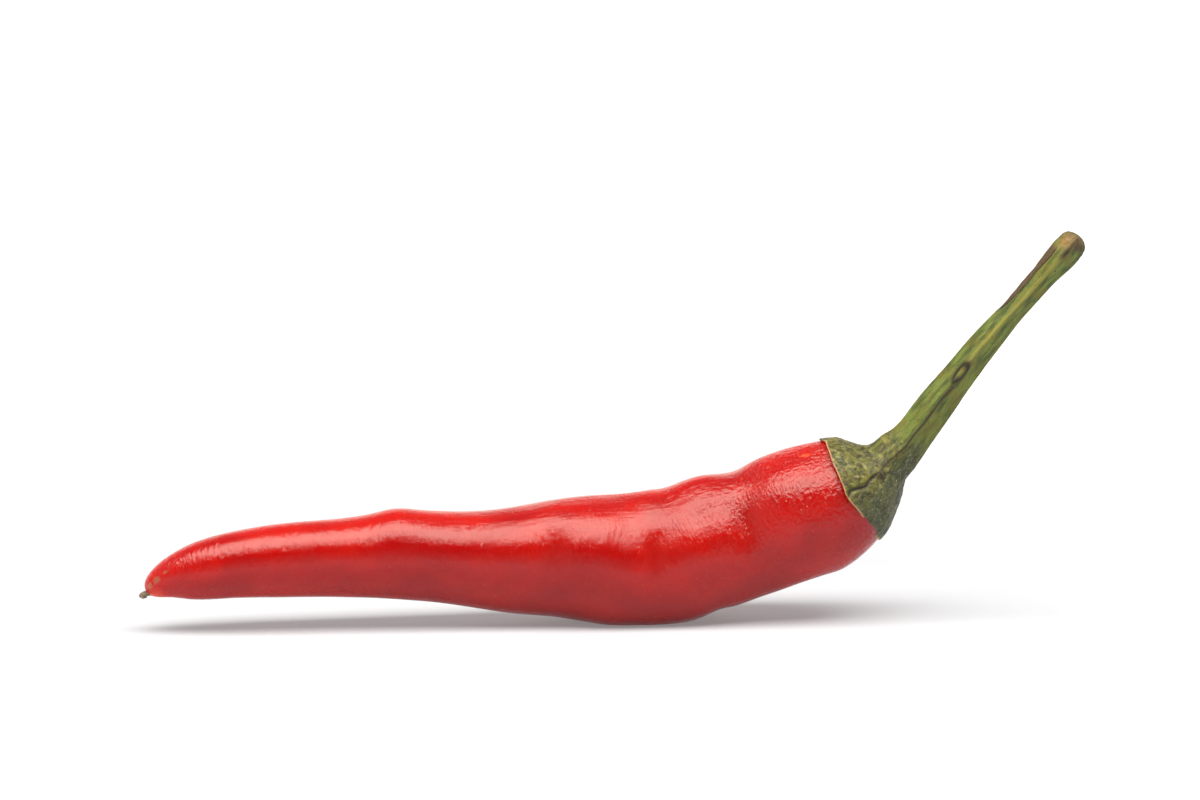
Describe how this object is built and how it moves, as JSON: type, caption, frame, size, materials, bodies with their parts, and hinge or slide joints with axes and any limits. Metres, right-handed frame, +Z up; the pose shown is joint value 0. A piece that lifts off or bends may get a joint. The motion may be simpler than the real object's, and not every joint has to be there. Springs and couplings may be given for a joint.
{
  "type": "chilli pepper",
  "caption": "Long, tapering fresh red chilli pepper with a green toothed calyx and a ribbed green stem that ends in a knob.",
  "frame": {"origin": "middle of the flattened patch on the pod's belly that it lies on", "axes": "+X along the pod from its tip towards the stem, +Z up"},
  "size_m": [0.1252, 0.0213, 0.0527],
  "materials": {
    "pod_skin": "glossy waxy red skin",
    "calyx_green": "matte olive green, slightly rough",
    "stem_green": "matte green with brown marks",
    "dried_style": "dry, dull brown"
  },
  "bodies": {
    "root": {"pod": "pod_skin", "calyx": "calyx_green", "stem": "stem_green", "style_remnant": "dried_style"}
  },
  "joints": []
}
